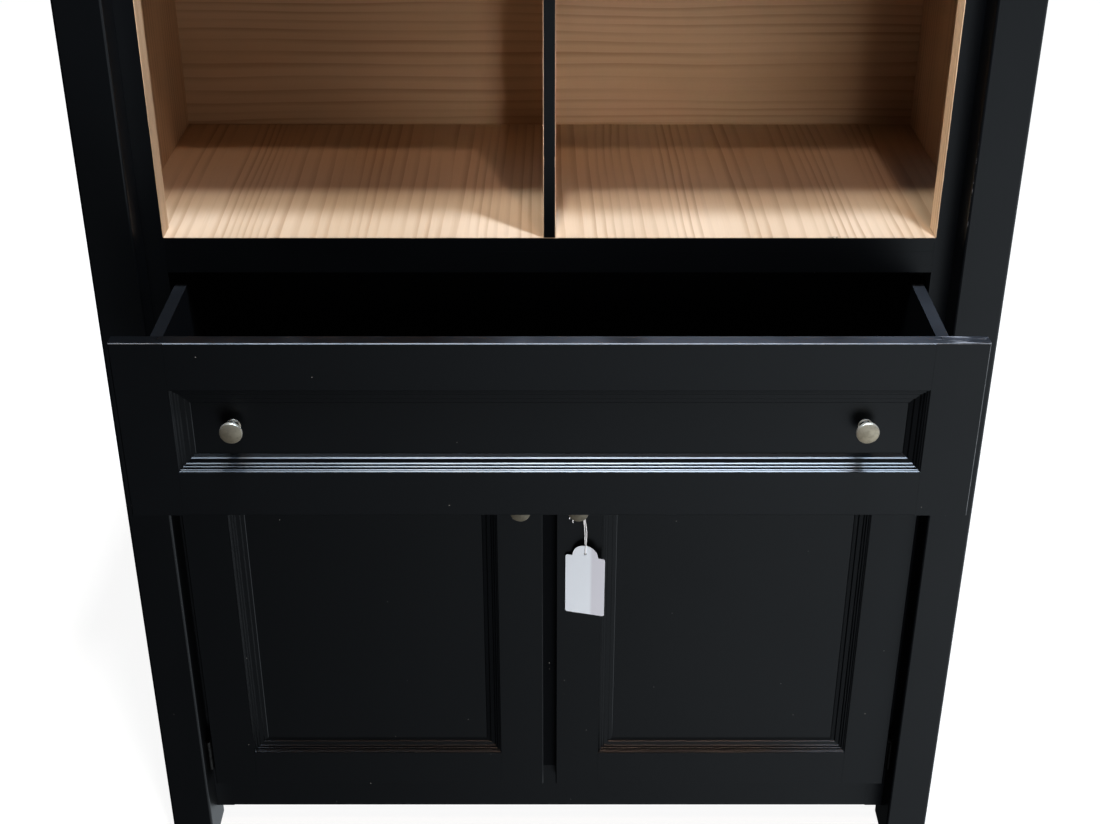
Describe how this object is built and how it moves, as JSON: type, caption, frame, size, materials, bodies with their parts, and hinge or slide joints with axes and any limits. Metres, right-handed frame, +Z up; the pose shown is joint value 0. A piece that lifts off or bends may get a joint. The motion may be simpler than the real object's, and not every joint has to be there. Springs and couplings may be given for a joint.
{
  "type": "dresser with hutch",
  "caption": "Tall black-painted dresser with an open bare-pine hutch, a wide framed drawer, framed doors, mushroom knobs and a blank hang tag.",
  "frame": {"origin": "on the floor, in the middle of the footprint as stored, from the open drawer's knobs to the back", "axes": "+X to the right seen from the front, +Y to the back, +Z up; the front faces -Y"},
  "size_m": [1.156, 0.6678, 1.8901],
  "materials": {
    "black_paint": "satin black paint on wood",
    "drawer_black": "matt black stain on wood",
    "bare_pine": "unfinished sanded pine",
    "pewter": "aged pewter plating, satin",
    "hinge_steel": "blackened steel",
    "tag_card": "smooth white card",
    "tag_cotton": "white cotton string"
  },
  "bodies": {
    "carcass": {"base_back": "black_paint", "base_rail": "black_paint", "cabinet_floor": "black_paint", "cabinet_shelf": "black_paint", "cornice": "black_paint", "door_mullion": "black_paint", "drawer_rail": "black_paint", "drawer_runner_left": "drawer_black", "drawer_runner_right": "drawer_black", "face_stile_left": "black_paint", "face_stile_right": "black_paint", "front_post_left": "black_paint", "front_post_right": "black_paint", "hinge_post_leaf_left_lower": "hinge_steel", "hinge_post_leaf_left_upper": "hinge_steel", "hinge_post_leaf_right_lower": "hinge_steel", "hinge_post_leaf_right_upper": "hinge_steel", "hutch_back": "bare_pine", "hutch_divider": "bare_pine", "hutch_floor": "bare_pine", "hutch_shelf_left": "bare_pine", "hutch_shelf_right": "bare_pine", "side_panel_left": "black_paint", "side_panel_right": "black_paint", "top_board": "black_paint", "top_rail": "black_paint", "waist_rail": "black_paint"},
    "door_left": {"door_left_hinge_stile": "black_paint", "door_left_knob": "pewter", "door_left_meeting_stile": "black_paint", "door_left_moulding": "black_paint", "door_left_panel": "black_paint", "door_left_rail_lower": "black_paint", "door_left_rail_upper": "black_paint", "hinge_door_leaf_left_lower": "hinge_steel", "hinge_door_leaf_left_upper": "hinge_steel"},
    "door_right": {"door_right_hinge_stile": "black_paint", "door_right_knob": "pewter", "door_right_meeting_stile": "black_paint", "door_right_moulding": "black_paint", "door_right_panel": "black_paint", "door_right_rail_lower": "black_paint", "door_right_rail_upper": "black_paint", "hinge_door_leaf_right_lower": "hinge_steel", "hinge_door_leaf_right_upper": "hinge_steel"},
    "drawer": {"drawer_back": "drawer_black", "drawer_bottom": "drawer_black", "drawer_front_moulding": "black_paint", "drawer_front_panel": "black_paint", "drawer_front_rail_lower": "black_paint", "drawer_front_rail_upper": "black_paint", "drawer_front_stile_left": "black_paint", "drawer_front_stile_right": "black_paint", "drawer_inner_front": "drawer_black", "drawer_knob_left": "pewter", "drawer_knob_right": "pewter", "drawer_side_left": "drawer_black", "drawer_side_right": "drawer_black"},
    "tag": {"hang_tag": "tag_card", "tag_string": "tag_cotton"}
  },
  "joints": [
    {"name": "drawer_slide", "type": "slide", "parent": "carcass", "child": "drawer", "axis": [0, -1, 0], "range_m": [-0.211, 0.09]},
    {"name": "door_left_hinge", "type": "hinge", "parent": "carcass", "child": "door_left", "pos_m": [-0.489, -0.1121, 0.3965], "axis": [0, 0, -1], "range_deg": [0, 100]},
    {"name": "door_right_hinge", "type": "hinge", "parent": "carcass", "child": "door_right", "pos_m": [0.489, -0.1121, 0.3965], "axis": [0, 0, 1], "range_deg": [0, 100]},
    {"name": "tag_swing", "type": "hinge", "parent": "door_right", "child": "tag", "pos_m": [0.038, -0.11898, 0.579], "axis": [0, 1, 0], "range_deg": [-45, 45]}
  ]
}
